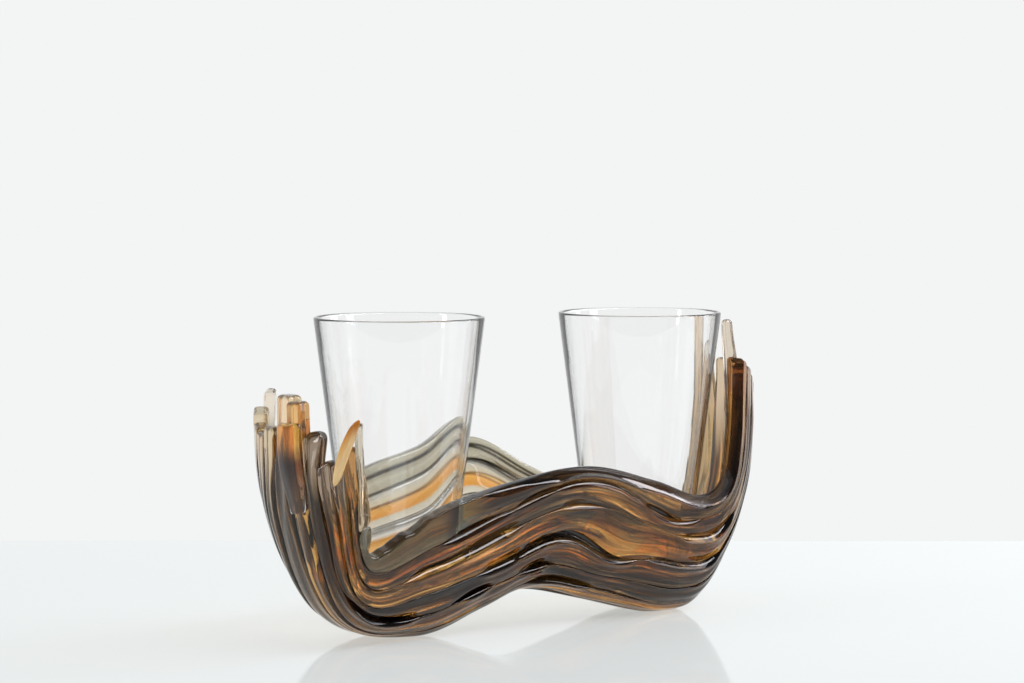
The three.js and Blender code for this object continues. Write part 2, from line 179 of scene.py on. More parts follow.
class Nodes:
    """The nodes of a material or a world, added one after another."""

    # The first of the two inputs of a mix node, and its output.
    MIX_SOCKETS = {"RGBA": (6, 2), "FLOAT": (2, 0)}

    def __init__(self, owner: bpy.types.Material | bpy.types.World) -> None:
        """Empties the owner's node tree.

        Args:
            owner: The material or the world.
        """
        owner.use_nodes = True
        self.tree = owner.node_tree
        self.tree.nodes.clear()

    def add(self, kind: str, settings: dict[Any, Any] | None = None) -> bpy.types.Node:
        """Adds one node.

        Args:
            kind: The node's type name, without the ShaderNode before it.
            settings: Properties by name, the stops of a colour ramp, and inputs by name or number, each a value
                or the socket that feeds it.

        Returns:
            The new node.
        """
        node = self.tree.nodes.new(f"ShaderNode{kind}")
        for key, value in (settings or {}).items():
            if key == "stops":
                ramp = node.color_ramp
                while len(ramp.elements) < len(value):
                    ramp.elements.new(0.5)
                for element, (place, colour) in zip(ramp.elements, value):
                    element.position = place
                    element.color = linear(colour)
            elif isinstance(value, Socket):
                self.tree.links.new(value, node.inputs[key])
            elif isinstance(key, str) and key not in node.inputs:
                setattr(node, key, value)
            else:
                node.inputs[key].default_value = value
        return node

    def math(self, operation: str, *inputs: float | Socket) -> Socket:
        """Adds a sum of numbers and gives its output."""
        return self.add("Math", {"operation": operation, **dict(enumerate(inputs))}).outputs[0]

    def vector(self, operation: str, *inputs: Triple | Socket) -> Socket:
        """Adds a sum of vectors and gives its output."""
        return self.add("VectorMath", {"operation": operation, **dict(enumerate(inputs))}).outputs[0]

    def mix(self, share: float | Socket, first: Any, second: Any, kind: str = "RGBA") -> Socket:
        """Adds a blend of two colours or numbers and gives its output."""
        start, result = self.MIX_SOCKETS[kind]
        return self.add("Mix", {"data_type": kind, 0: share, start: first, start + 1: second}).outputs[result]

    def noise(self, where: Socket, waves: Waves) -> bpy.types.Node:
        """Adds a noise at a place in metres."""
        spot = self.vector("MULTIPLY_ADD", where, tuple(1 / size for size in waves.sizes), waves.start)
        return self.add("TexNoise", {"Scale": 1.0, "Detail": waves.detail, "Vector": spot})

    def read(self, attribute: str, output: str = "Vector") -> Socket:
        """Reads an attribute of the mesh."""
        return self.add("Attribute", {"attribute_name": attribute}).outputs[output]

    def ray(self, kind: str) -> Socket:
        """Tells the rays of one kind."""
        return self.add("LightPath").outputs[f"Is {kind} Ray"]

    def seen(self) -> Socket:
        """Tells the camera's rays and those that go on through glass."""
        return self.math("MAXIMUM", self.ray("Camera"), self.ray("Transmission"))

    def finish_glass(self, glass: bpy.types.Node, shadow: str) -> None:
        """Ends a glass, which lets light through to its shadow.

        Args:
            glass: The shader for all rays but those to the lamps.
            shadow: The colour of the light that it lets through.
        """
        through = self.add("BsdfTransparent", {"Color": linear(shadow)})
        shown = self.add("MixShader", {0: self.ray("Shadow"), 1: glass.outputs[0], 2: through.outputs[0]})
        self.add("OutputMaterial", {"Surface": shown.outputs[0]})


@dataclass(frozen=True)
class StripGlass:
    """Kiln-fused soda-lime sheet glass with streaks of colour drawn out along the strip.

    Its colours are what one wall shows against white. Where the eye looks through two walls they multiply,
    so the flanks read darker than the tips.
    """

    name: str
    stops: tuple[tuple[float, str], ...]
    threads: float = 0.2
    clearness: float = 1.0
    layered: float = 0.0
    bend_reach: Triple = (0.012, 0.005, 0.003)
    trend_share: float = 0.5
    layer_sway: float = 0.22
    thread_colour: str = "#1d1510"
    # The colour that the painted shade darkens the glass towards.
    painted_shade_colour: str = "#150d08"
    shadow_colour: str = "#e9e4dd"

    def material(self) -> bpy.types.Material:
        """Builds the node material.

        Returns:
            The finished material.
        """
        material = bpy.data.materials.new(self.name)
        nodes = Nodes(material)
        # The flow attribute is in metres: along the strip, across it and into it.
        flow = nodes.read("flow")
        # The place attribute holds the painted shade, the share of tip colour and the share of ground satin.
        painted_shade, tip_share, satin = nodes.add("SeparateXYZ", {0: nodes.read("place")}).outputs
        bends = nodes.vector("SUBTRACT", nodes.noise(flow, BENDS).outputs["Color"], (0.5, 0.5, 0.5))
        bent = nodes.vector("MULTIPLY_ADD", bends, self.bend_reach, flow)
        bands, trend, threads = (nodes.noise(bent, waves).outputs["Fac"] for waves in (BANDS, TREND, THREADS))
        trend = nodes.math("MULTIPLY_ADD", trend, self.trend_share, -self.trend_share / 2)
        # Layered glass takes its colours in turn across the strip, where streaked glass takes them at random.
        streaked = nodes.math("ADD", trend, bands)
        layered = nodes.math("MULTIPLY_ADD", trend, self.layer_sway, nodes.read("lie", "Fac"))
        chosen = nodes.mix(self.layered, streaked, layered, "FLOAT")
        lit = nodes.add("ValToRGB", {"stops": self.stops, 0: chosen}).outputs[0]
        dark = nodes.add("MapRange", {"interpolation_type": "SMOOTHSTEP", "From Min": 0.56, "From Max": 0.72,
                                      "To Max": self.threads, "Value": threads}).outputs[0]
        threaded = nodes.mix(dark, lit, linear(self.thread_colour))
        tipped = nodes.mix(tip_share, threaded, nodes.read("tip", "Color"))
        # Painted shade darkens the glass in the seams, eye pockets and treads and on the rolled top edge, and it
        # also darkens the ground cut face.
        tint = nodes.mix(painted_shade, tipped, linear(self.painted_shade_colour))

        ridges = nodes.noise(bent, RIDGES).outputs["Fac"]
        drawn = nodes.add("Bump", {"Strength": 0.12, "Distance": 0.0003, "Height": ridges}).outputs[0]
        pits = nodes.math("MULTIPLY", nodes.noise(flow, PITS).outputs["Fac"], satin)
        ground = nodes.add("Bump", {"Strength": 0.6, "Distance": 0.0006, "Height": pits, "Normal": drawn}).outputs[0]
        rough = nodes.add("MapRange", {"To Min": 0.03, "To Max": 0.4, "Value": satin}).outputs[0]
        glass = nodes.add("BsdfPrincipled", {
            "IOR": 1.5, "Transmission Weight": self.clearness, "Coat Weight": 0.1, "Coat Roughness": 0.02,
            "Base Color": tint, "Roughness": rough, "Normal": ground,
        })
        nodes.finish_glass(glass, self.shadow_colour)
        return material


class Glass(Enum):
    """The glasses that the strips are cut from."""

    SMOKY = StripGlass("smoky_fused_glass", (
        (0.30, "#1c130b"), (0.40, "#35281a"), (0.455, "#8c6c40"), (0.485, "#4c3118"), (0.52, "#23180e"),
        (0.56, "#a8763c"), (0.60, "#f4b864"), (0.64, "#885624"), (0.72, "#262318"),
    ))
    AMBER = StripGlass("amber_streaked_fused_glass", (
        (0.30, "#23170d"), (0.38, "#986c36"), (0.44, "#d89a44"), (0.49, "#f6c06c"), (0.53, "#aa7032"),
        (0.57, "#36261a"), (0.62, "#86683c"), (0.70, "#262318"),
    ))
    RUSSET = StripGlass("russet_fused_glass", (
        (0.38, "#7a3c12"), (0.46, "#a0561c"), (0.52, "#6e3814"), (0.60, "#4a3020"),
    ))
    TAN = StripGlass("tan_fused_glass", (
        (0.30, "#c2ad90"), (0.44, "#96826a"), (0.50, "#5a4a38"), (0.55, "#d0ae7c"), (0.70, "#a8916f"),
    ))
    HONEY = StripGlass("honey_fused_glass", (
        (0.05, "#f2d3a0"), (0.22, "#eaa850"), (0.50, "#f4b868"), (0.62, "#c9882f"), (0.70, "#e8e2d6"),
        (0.80, "#8f8b84"), (0.86, "#e6e0d2"), (0.97, "#b8b2a6"),
    ), threads=0.15, layered=0.9)
    OPAL = StripGlass("honey_opal_glass", (
        (0.40, "#ffdc9c"), (0.52, "#ffeab8"), (0.60, "#f6c878"),
    ), threads=0.1, clearness=0.35)
    PALE = StripGlass("champagne_fused_glass", (
        (0.03, "#8f8b84"), (0.09, "#e6e0d2"), (0.25, "#d8cfba"), (0.31, "#e9a24c"), (0.52, "#f0b462"),
        (0.58, "#7a4a1e"), (0.65, "#d9c9a8"), (0.88, "#cfcabd"), (0.93, "#17130d"),
    ), threads=0.1, layered=0.9)
    OLIVE = StripGlass("olive_fused_glass", (
        (0.05, "#17130d"), (0.12, "#b2ab94"), (0.30, "#c2bca6"), (0.48, "#a8a28c"), (0.53, "#17130d"),
        (0.59, "#1f1a12"), (0.65, "#b2ab94"), (0.88, "#d2cdb8"), (0.97, "#8f8974"),
    ), threads=0.1, layered=0.9)
    GREY = StripGlass("grey_fused_glass", (
        (0.34, "#766a50"), (0.46, "#8a7c5e"), (0.52, "#6a5c44"), (0.57, "#a07a40"), (0.61, "#4a3e2a"),
        (0.68, "#766a50"),
    ), clearness=0.75)


@dataclass(frozen=True)
class Form:
    """How a finger is drawn out at its tip, in millimetres.

    It holds the depths of the two faces there, the share of its width that it keeps, how far it sways towards
    the rear, and the length over which it changes.
    """

    faces: Pair = (0.0, 7.9)
    width: float = 1.0
    sway: float = 0.0
    reach: float = 1.0


@dataclass(frozen=True)
class Lane:
    """One strip's share of the trough, in millimetres.

    The widths are those at the left wall, left foot, hump and right wall. The tips are the heights of the left
    and right ends, and the colours are what the glass thins to there.
    """

    name: str
    glass: Glass
    slot: str
    widths: tuple[float, float, float, float]
    tips: Pair
    colours: tuple[str, str]
    forms: tuple[Form, Form] = (Form(), Form())
    tip_rounds: Pair = (2.4, 2.4)


LANES = (
    Lane("front_edge_strip", Glass.SMOKY, "smoky_glass", (4, 16, 6, 9), (111, 133), ("#e9e2d4", "#b98352")),
    Lane("front_strip_2", Glass.SMOKY, "smoky_glass", (6, 12, 11, 9), (99, 129), ("#c9965c", "#a98a6c")),
    Lane("front_strip_3", Glass.AMBER, "amber_glass", (7, 13, 18, 10), (93, 124), ("#a08a76", "#a98a6c")),
    Lane("front_strip_4", Glass.SMOKY, "smoky_glass", (7, 13, 16, 9), (92, 120), ("#a08a76", "#a98a6c")),
    Lane("front_strip_5", Glass.SMOKY, "smoky_glass", (8, 12, 12, 9), (106, 121), ("#97836f", "#b98f6c"),
         (Form(width=1.45, sway=-2.5, reach=24), Form()), (5.5, 2.4)),
    Lane("front_strip_6", Glass.AMBER, "amber_glass", (10, 12, 12, 9), (120, 151), ("#eebc78", "#e9dccb"),
         (Form(), Form((4.5, 9.5), 0.6, reach=45))),
    Lane("floor_strip", Glass.SMOKY, "smoky_glass", (13, 24, 22, 11), (122, 130), ("#f3d9b2", "#dcc3a4"),
         (Form((2, 10.5), 0.9, reach=40), Form((0, 4.5), reach=45))),
    Lane("rear_strip_1", Glass.TAN, "amber_glass", (9, 15, 15, 10), (106, 147), ("#dcc39c", "#e2cbb0"),
         (Form(), Form((3.5, 9), 0.65, reach=70))),
    Lane("rear_strip_2", Glass.TAN, "smoky_glass", (10, 17, 17, 10), (102, 50), ("#d2b48c", "#d8a468")),
    Lane("rear_strip_3", Glass.HONEY, "amber_glass", (9, 17, 17, 10), (105, 52), ("#dcc39c", "#d8b48a")),
    Lane("rear_strip_4", Glass.PALE, "pale_glass", (9, 17, 17, 9), (112, 54), ("#e4d2b4", "#d8d0c0")),
    Lane("rear_strip_5", Glass.OLIVE, "pale_glass", (8, 13, 12, 8), (121, 54.5), ("#f4e8d8", "#b9b6a9"),
         (Form((5, 10.5), reach=45), Form())),
)


@dataclass(frozen=True)
class Stretch:
    """A stretch of the seam before a lane: its middle and half its length as stations, and a size in millimetres."""

    border: int
    station: float
    half: float
    size: float


@dataclass(frozen=True)
class Rise:
    """A stretch where the strip under a border stands proud, with a tread of this length in mm that faces up."""

    border: int
    first: float
    last: float
    length: float


# Lens-shaped openings in the seams, by their widths.
EYES = tuple(Stretch(*row) for row in (
    (1, 0.35, 0.028, 1.8), (1, 0.435, 0.03, 2.2), (1, 0.625, 0.035, 2.8), (3, 0.505, 0.095, 3.8),
    (4, 0.225, 0.05, 3.2), (4, 0.365, 0.03, 3.2), (4, 0.485, 0.018, 1.6), (5, 0.54, 0.04, 2.4),
    (6, 0.12, 0.03, 2.0),
))
# Where a seam leaves its even course, by its way towards the rear edge.
DRIFTS = tuple(Stretch(*row) for row in (
    (1, 0.63, 0.06, 9.0), (2, 0.63, 0.07, 3.5), (3, 0.40, 0.05, 3.5), (3, 0.58, 0.05, 8.0),
    (4, 0.20, 0.03, -4.0), (4, 0.58, 0.06, 3.0),
))
RISES = tuple(Rise(*row) for row in (
    (0, 0.37, 0.72, 1.6), (1, 0.315, 0.395, 3.4), (1, 0.40, 0.45, 2.2), (1, 0.46, 0.58, 3.2),
    (1, 0.58, 0.69, 2.2), (2, 0.27, 0.41, 3.6), (2, 0.475, 0.525, 2.8), (2, 0.67, 0.82, 3.6),
    (3, 0.375, 0.43, 3.6), (3, 0.43, 0.61, 2.6), (3, 0.635, 0.78, 3.4), (4, 0.18, 0.28, 2.4),
    (4, 0.355, 0.39, 2.4), (4, 0.455, 0.49, 2.4), (5, 0.49, 0.57, 2.0), (8, 0.35, 0.70, 2.0),
    (9, 0.40, 0.60, 2.0), (10, 0.30, 0.70, 2.0), (11, 0.40, 0.66, 2.4),
))


@dataclass
class Tread:
    """The step under a border at each ring: a round of its own, then a stretch that faces up, in millimetres."""

    length: Array
    tilt: Array
    bow: float = math.radians(6)
    steepest: float = math.radians(80)
    least_round: float = 0.15
    round_share: float = 0.4

    def __post_init__(self) -> None:
        """Works out how far the step runs across the strip and how steep it is at both ends."""
        self.run = self.length * np.cos(self.tilt)
        self.round = self.least_round + self.round_share * self.length
        self.slopes = [np.tan(np.clip(self.tilt + side * self.bow, 0, self.steepest)) for side in (-1, 1)]

    def drop(self, inset: Array) -> Array:
        """Gives how far the step has fallen, at a distance from the strip's edge.

        Args:
            inset: Distances from the edge, a row for each ring.

        Returns:
            The falls in millimetres.
        """
        easy, steep = self.slopes
        before = np.clip((self.run + self.round - inset) / self.round, 0, 1)
        within = np.clip(self.run - inset, 0, None)
        return easy * self.round * before**2 / 2 + easy * within + (steep - easy) * within**2 / (2 * self.run + TINY)

    def height(self) -> Array:
        """Gives the whole height of the step."""
        return self.drop(np.zeros_like(self.length))


@dataclass
class Trough:
    """The surface that the strips follow, in millimetres: a deep wavy trough on two feet.

    A station is a share of the way along it, and a round is a share of the way from its front edge, down and
    under, to its rear edge. The shifts move the eleven stations of a guide along the trough.
    """

    end_margins: Pair = (23.5, 18.5)
    edge_margins: Pair = (5.5, 7.5)
    hump_offset: float = -7.0
    hump_rise: float = 18.0
    foot_grind: float = 0.7
    floor_width: float = 16.0
    tip_round: float = 5.0
    bend_heights: Pair = (60, 68)
    corner_heights: Pair = (11, 9)
    front_heights: tuple[float, ...] = (49, 66, 76.5, 81, 71.5, 62, 70, 97)
    rear_heights: tuple[float, ...] = (60, 75, 82.5, 90, 72, 54, 58, 90)
    spine_shifts: tuple[float, ...] = (-3, 2, 26, 1, 3, 0, 0, 3, -31, -4, -4)
    front_shifts: tuple[float, ...] = (18, 18, 23, -6, 7, 20, 20, 8, -36, -32, -31)
    rear_shifts: tuple[float, ...] = (13, 16, 36, 4, 7, 4, 0, 2, -34, -18, -16)
    width_spans: tuple[Pair, ...] = ((0.1, 0.3), (0.3, 0.5), (0.5, 0.9))
    flank_sweep: float = math.radians(60)
    wander: float = 0.8
    wander_wave: float = 0.5
    wander_spans: tuple[Pair, Pair] = ((0.12, 0.3), (0.75, 0.9))
    least_tread: float = 0.1
    tread_ease: float = 0.015
    tread_facing: float = math.radians(36)
    tread_tilts: Pair = (0.5, 1.32)
    section_steps: int = 96
    probe: float = 1e-3

    def __post_init__(self) -> None:
        """Reads where the tumblers stand and lays the three guides from them."""
        left, right = ([np.array(corner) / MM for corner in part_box(n)] for n in ("left_tumbler", "right_tumbler"))
        self.left_axis, self.right_axis = (float((low[0] + high[0]) / 2) for low, high in (left, right))
        self.middle_y = float((left[0][1] + left[1][1]) / 2)
        rim = float(left[1][0] - left[0][0]) / 2
        left_end = self.left_axis - rim - self.end_margins[0]
        right_end = self.right_axis + rim + self.end_margins[1]
        hump = (self.left_axis + self.right_axis) / 2 + self.hump_offset
        left_top, right_top = (max(lane.tips[i] for lane in LANES) + self.tip_round for i in (0, 1))
        places = np.array([
            *[left_end] * 3, self.left_axis, (self.left_axis + hump) / 2, hump,
            (self.right_axis + hump) / 2, self.right_axis, *[right_end] * 3,
        ])
        rise, grind = self.hump_rise, -self.foot_grind
        (left_bend, right_bend), (left_corner, right_corner) = self.bend_heights, self.corner_heights
        self.spine = Guide(0, places + self.spine_shifts, [
            left_top, left_bend, left_corner, grind, rise / 2, rise, rise / 2, grind, right_corner, right_bend,
            right_top,
        ])
        self.front, self.rear = (
            Guide(y, places + shifts, [left_top, (left_top + heights[0]) / 2, *heights, right_top])
            for y, shifts, heights in (
                (-rim - self.edge_margins[0], self.front_shifts, self.front_heights),
                (rim + self.edge_margins[1], self.rear_shifts, self.rear_heights),
            )
        )

    def section(self, stations: Array, shares: Array) -> Array:
        """Finds points on the outline of the trough's outside.

        Args:
            stations: One station for each row.
            shares: A row of places round the section for each station, not yet spaced by length.

        Returns:
            A row of points for each station.
        """
        middle, front, rear = (guide.at(stations)[:, None, :] for guide in (self.spine, self.front, self.rear))
        edge = np.where((shares < 0.5)[..., None], front, rear)
        half = self.floor_width / 2
        reach = np.abs(2 * shares - 1)
        width = np.abs(edge[..., 1])
        flat = half / (half + width)
        angle = self.flank_sweep * np.clip((reach - flat) / (1 - flat), 0, 1)
        out = np.sin(angle) / math.sin(self.flank_sweep)
        up = ((1 - np.cos(angle)) / (1 - math.cos(self.flank_sweep)))[..., None]
        points = middle + (edge - middle) * up
        side = np.where(reach <= flat, half * reach / flat, half + (width - half) * out)
        points[..., 1] = self.middle_y + np.sign(edge[..., 1]) * side
        return points

    def lengths(self, stations: Array) -> Array:
        """Measures round the section from its front edge.

        Args:
            stations: One station for each row.

        Returns:
            A row of running lengths for each station.
        """
        steps = np.linspace(0, 1, self.section_steps + 1)
        points = self.section(stations, np.tile(steps, (len(stations), 1)))
        parts = np.linalg.norm(np.diff(points, axis=1), axis=2)
        return np.hstack([np.zeros((len(stations), 1)), np.cumsum(parts, axis=1)])

    def girth(self, stations: Array) -> Array:
        """Gives the whole length round the section at each station."""
        return self.lengths(stations)[:, -1]

    def outside(self, stations: Array, rounds: Array) -> Array:
        """Finds points on the outside, spaced by length round the section.

        Args:
            stations: One station for each row.
            rounds: A row of shares of the way round for each station.

        Returns:
            A row of points for each station.
        """
        steps = np.linspace(0, 1, self.section_steps + 1)
        rows = zip(np.clip(rounds, 0, 1), self.lengths(stations))
        shares = np.array([np.interp(row * lengths[-1], lengths, steps) for row, lengths in rows])
        return self.section(stations, shares)

    def glass(self, stations: Array, rounds: Array, depths: Array) -> Array:
        """Finds points in the glass.

        Args:
            stations: One station for each row.
            rounds: A row of shares of the way round for each station.
            depths: How far each point lies inside the trough's outside.

        Returns:
            A row of points for each station.
        """
        before, after = np.maximum(stations - self.probe, 0), np.minimum(stations + self.probe, 1)
        along = self.outside(after, rounds) - self.outside(before, rounds)
        across = self.outside(stations, rounds + self.probe) - self.outside(stations, rounds - self.probe)
        inwards = np.cross(along, across)
        inwards /= np.linalg.norm(inwards, axis=2, keepdims=True)
        return self.outside(stations, rounds) + inwards * depths[..., None]

    def borders(self, stations: Array) -> Array:
        """Finds the borders between the lanes, which wander a little as fused strips do.

        Args:
            stations: One station for each row.

        Returns:
            A row of shares of the way round for each station, from the front edge to the rear edge.
        """
        widths, *others = (np.array([lane.widths[i] for lane in LANES])[None, :] for i in range(4))
        for span, other in zip(self.width_spans, others):
            widths = widths + (other - widths) * smoothstep(stations, *span)[:, None]
        sums = np.hstack([np.zeros((len(stations), 1)), np.cumsum(widths, axis=1)])
        borders = sums / widths.sum(axis=1, keepdims=True)
        total = self.girth(stations)
        starts, stops = self.wander_spans
        calm = smoothstep(stations, *starts) * (1 - smoothstep(stations, *stops))
        for border in range(1, len(LANES)):
            borders[:, border] += self.wander * calm * ripple(border, stations, self.wander_wave) / total
        for drift in DRIFTS:
            near = np.exp(-(((stations - drift.station) / drift.half) ** 2))
            borders[:, drift.border] += drift.size * near / total
        return borders

    def tread(self, border: int, stations: Array, rounds: Array, share: Array) -> Tread:
        """Finds the step under a border, which faces up however far the wall leans over.

        Args:
            border: The seam before this lane.
            stations: Where along the trough.
            rounds: The share of the way round at which the border lies.
            share: How much of its length the step keeps at each station.

        Returns:
            The step at each station.
        """
        length = np.full(len(stations), self.least_tread)
        ease = self.tread_ease
        for rise in RISES:
            if rise.border == border:
                inside = smoothstep(stations, rise.first - ease, rise.first + ease)
                inside *= 1 - smoothstep(stations, rise.last - ease, rise.last + ease)
                length = np.maximum(length, rise.length * inside)
        ends = [self.glass(stations, rounds[:, None], np.full((len(stations), 1), depth)) for depth in (0.0, 1.0)]
        overhang = np.arcsin(np.clip((ends[1] - ends[0])[:, 0, 2], -1, 1))
        return Tread((length * share)[:, None], np.clip(self.tread_facing + overhang, *self.tread_tilts)[:, None])

    def eye(self, border: int, stations: Array) -> Array:
        """Gives the width of the opening in a seam.

        Args:
            border: The seam before this lane.
            stations: Where along the trough.

        Returns:
            One width in millimetres for each station, 0 where the seam is fused.
        """
        width = np.zeros(len(stations))
        for eye in EYES:
            if eye.border == border:
                place = np.clip((stations - eye.station) / eye.half, -1, 1)
                width = np.maximum(width, eye.size * (1 - place**2))
        return width


class LaneLine:
    """The middle line of a lane, measured along its length."""

    SAMPLES = 400
    LEFT_WALL, RIGHT_WALL = 0.2, 0.8

    def __init__(self, trough: Trough, lane: int) -> None:
        """Measures the line.

        Args:
            trough: The surface that it lies on.
            lane: Which lane it follows.
        """
        self.stations = np.linspace(0, 1, self.SAMPLES + 1)
        borders = trough.borders(self.stations)[:, lane : lane + 2]
        self.points = trough.outside(self.stations, borders.mean(axis=1, keepdims=True))[:, 0]
        parts = np.linalg.norm(np.diff(self.points, axis=0), axis=1)
        self.distances = np.concatenate([[0.0], np.cumsum(parts)])

    def station(self, distances: Array) -> Array:
        """Gives the stations at these distances."""
        return np.interp(distances, self.distances, self.stations)

    def distance(self, stations: Array) -> Array:
        """Gives the distances at these stations."""
        return np.interp(stations, self.stations, self.distances)

    def left(self, height: float) -> float:
        """Gives the distance at which the left wall has this height."""
        wall = self.stations <= self.LEFT_WALL
        return float(np.interp(-height, -self.points[wall, 2], self.distances[wall]))

    def right(self, height: float) -> float:
        """Gives the distance at which the right wall has this height."""
        wall = self.stations >= self.RIGHT_WALL
        return float(np.interp(height, self.points[wall, 2], self.distances[wall]))


@dataclass
class Ribbon:
    """One strip of glass: a rod that is laid along a lane and pressed to a rounded section.

    Distances are in millimetres along the lane's middle line. The upper side is -1 where the strip's first edge
    is the higher one, 1 where its second edge is, and 0 where neither is.
    """

    name: str
    trough: Trough
    line: LaneLine
    ends: Pair
    edges: Callable[[Array], Edges]
    seams: tuple[int, int]
    colours: tuple[str, str]
    upper: int = 0
    plain: Form = Form()
    forms: tuple[Form, Form] = (Form(), Form())
    tip_rounds: Pair = (2.4, 2.4)
    fades: tuple[Pair, Pair] = ((12.0, 36.0), (15.0, 60.0))
    rings: int = 170
    sides: int = 60
    outer: int = 44
    flat_tips: float = 1.0
    rim: float = 0.0
    rolled: float = 0.0
    cut: float = 4.0
    cut_slope: float = 2.0
    crest: float = 3.6
    deepest: float = 7.4

    # The rounded tips: their rings, the angle of the first one, and the most that they take off.
    TIP_RINGS, TIP_START, TIP_MOST = 9, 0.06, 0.92
    # Stations where the fingers end and the upright starts, and distances from a tip where its flat slab ends.
    FINGERS, UPRIGHT, SLAB = (0.1, 0.27), (0.84, 0.94), (8, 30)
    # Depth and width of the groove beside a rib, and beside a finger, the upright and a slab.
    RIB_GROOVE, GROOVES = (0.1, 0.8), ((2.6, 3.4), (1.4, 2.6), (0.6, 1.0))
    WIDEST_GROOVE = 0.9
    # An eye's depth, the widths at which it opens, and the run of its wall.
    EYE_DEPTH, EYE_OPENS, EYE_WALL = 3.2, (0.1, 0.9), (-0.3, 0.5)
    # Stations where the rim's crest and its cut start, and where the cut gets narrow, by which share.
    CREST, CUT, CUT_NARROWS, CUT_LOSS = (0.34, 0.5), (0.58, 0.68), (0.8, 0.9), 0.8
    # The rim's roll: the share that grows, over which distance, its least radius and how round it is.
    ROLL_GROWTH, ROLL_REACH, ROLL_LEAST, ROLL_ROUND = 0.5, 30, 0.1, 0.96
    # Seed, height and wave length of the ribs and the swell, and how many ribs lie across a strip.
    RIBS, SWELL, RIB_COUNT = (60, 0.16, 160.0), (80, 0.3, 90.0), 1.7
    # How square the section is outside and inside.
    POWERS = (24.0, 4.5)
    # How dark the painted shade is in seams, on rolls and treads and on ground glass, and where each of them ends.
    SEAM_SHADE, SEAM_SPAN = 0.45, (0.1, 0.8)
    ROLL_SHADE, ROLL_SPAN = 0.8, (0.3, 0.6)
    TREAD_SHADE, TREAD_SPAN = 0.5, (1.0, 2.4)
    SATIN_SHADE, SATIN_SPAN, SATIN_EDGE = 0.9, (0.1, 0.7), (0.85, 0.98)
    SEED_STEP = 0.31

    def __post_init__(self) -> None:
        """Finds the rings, the places round them, and how far each is finger, upright, slab, step, eye or cut."""
        self.distances = self.stops()
        self.stations = self.line.station(self.distances)
        low, high = self.edges(self.stations)
        self.total = self.trough.girth(self.stations)
        self.middle = (low + high) / 2 + self.drawn(lambda form: form.sway) / self.total
        self.half = (high - low) / 2 * self.drawn(lambda form: form.width)
        self.half_width = (self.half * self.total)[:, None]
        self.outside, self.inside = (self.drawn(lambda form, i=i: form.faces[i])[:, None] for i in (0, 1))
        turns = np.arange(self.sides)
        self.on_outside = (turns <= self.outer)[None, :]
        spread = np.where(self.on_outside, turns / self.outer, (self.sides - turns) / (self.sides - self.outer))
        self.x = np.sin(math.pi * (0.5 - spread))
        self.inset = (1 - np.abs(self.x)) * self.half_width
        self.first_inset = (1 + self.x) * self.half_width
        self.on_top = self.x * self.upper > 0

        # Fingers are round on both sides, and tips are flat slabs.
        near, far = self.SLAB
        start, end = (self.distances - place for place in self.ends)
        self.fingers = 1 - self.eased(self.FINGERS)
        self.upright = self.eased(self.UPRIGHT)
        self.slab = self.flat_tips * (1 - smoothstep(start, near, far) + smoothstep(end, -far, -near))[:, None]
        calm = (1 - self.fingers[:, 0]) * (1 - self.upright[:, 0]) * abs(self.upper)
        treads = [self.trough.tread(seam, self.stations, edge, calm) for seam, edge in zip(self.seams, (low, high))]
        self.above, self.below = treads if self.upper < 0 else treads[::-1]
        self.tread_inset = self.inset - self.rim * self.crest * self.eased(self.CREST)

        # An eye is a steep pocket in the lower side of the strip above it.
        eye = self.trough.eye(self.seams[1], self.stations)[:, None]
        gape = np.where(self.on_top, 0.0, eye) * (self.upper < 0)
        self.pocket = smoothstep(gape, *self.EYE_OPENS) * (1 - smoothstep(self.inset - gape, *self.EYE_WALL))

        # The rim is cut on a slant towards the right end.
        cut = self.cut * (1 - self.CUT_LOSS * self.eased(self.CUT_NARROWS))
        self.cut_share = self.rim * self.eased(self.CUT)
        self.slant = np.clip(cut - self.first_inset, 0, None) * self.cut_share

    def eased(self, span: Pair) -> Array:
        """Eases from 0 to 1 over a span of stations, as a column."""
        return smoothstep(self.stations, *span)[:, None]

    def rod(self) -> bmesh.types.BMesh:
        """Makes a straight rod with a ring of points at each step along it.

        Returns:
            The rod, with its axis on Z and a length of 1.
        """
        rod = bmesh.new()
        bmesh.ops.create_cone(rod, cap_ends=True, segments=self.sides, radius1=1, radius2=1, depth=1)
        long_edges = [e for e in rod.edges if abs(e.verts[0].co.z - e.verts[1].co.z) > 0.5]
        bmesh.ops.subdivide_edges(rod, edges=long_edges, cuts=self.rings - 2)
        return rod

    def stops(self) -> Array:
        """Spaces the rings, closer together where the tips are rounded.

        Returns:
            The distance of each ring along the line.
        """
        (start, end), (first, last) = self.ends, self.tip_rounds
        reach = 1 - np.cos(np.linspace(self.TIP_START, math.pi / 2, self.TIP_RINGS))
        inner = np.linspace(start + first, end - last, self.rings - 2 * self.TIP_RINGS + 2)[1:-1]
        return np.concatenate([start + first * reach, inner, (end - last * reach)[::-1]])

    def keep(self, half: Array) -> Array:
        """Gives the share of a half width or half thickness that the rounded tips leave.

        Args:
            half: The full half width or thickness at each ring, as a column.

        Returns:
            Shares from 0 to 1, as a column.
        """
        kept = np.ones_like(half)
        for end, tip_round in zip(self.ends, self.tip_rounds):
            gone = 1 - np.clip(np.abs(self.distances - end) / tip_round, 0, 1)[:, None]
            kept -= np.minimum(tip_round / half, self.TIP_MOST) * (1 - np.sqrt(1 - gone**2))
        return kept

    def drawn(self, pick: Callable[[Form], float]) -> Array:
        """Blends one value of the strip's form towards its tips.

        Args:
            pick: Reads the value from a form.

        Returns:
            The value at each ring.
        """
        value = np.full(len(self.distances), float(pick(self.plain)))
        for end, form in zip(self.ends, self.forms):
            near = 1 - smoothstep(np.abs(self.distances - end), 0, form.reach)
            value += (pick(form) - value) * near
        return value

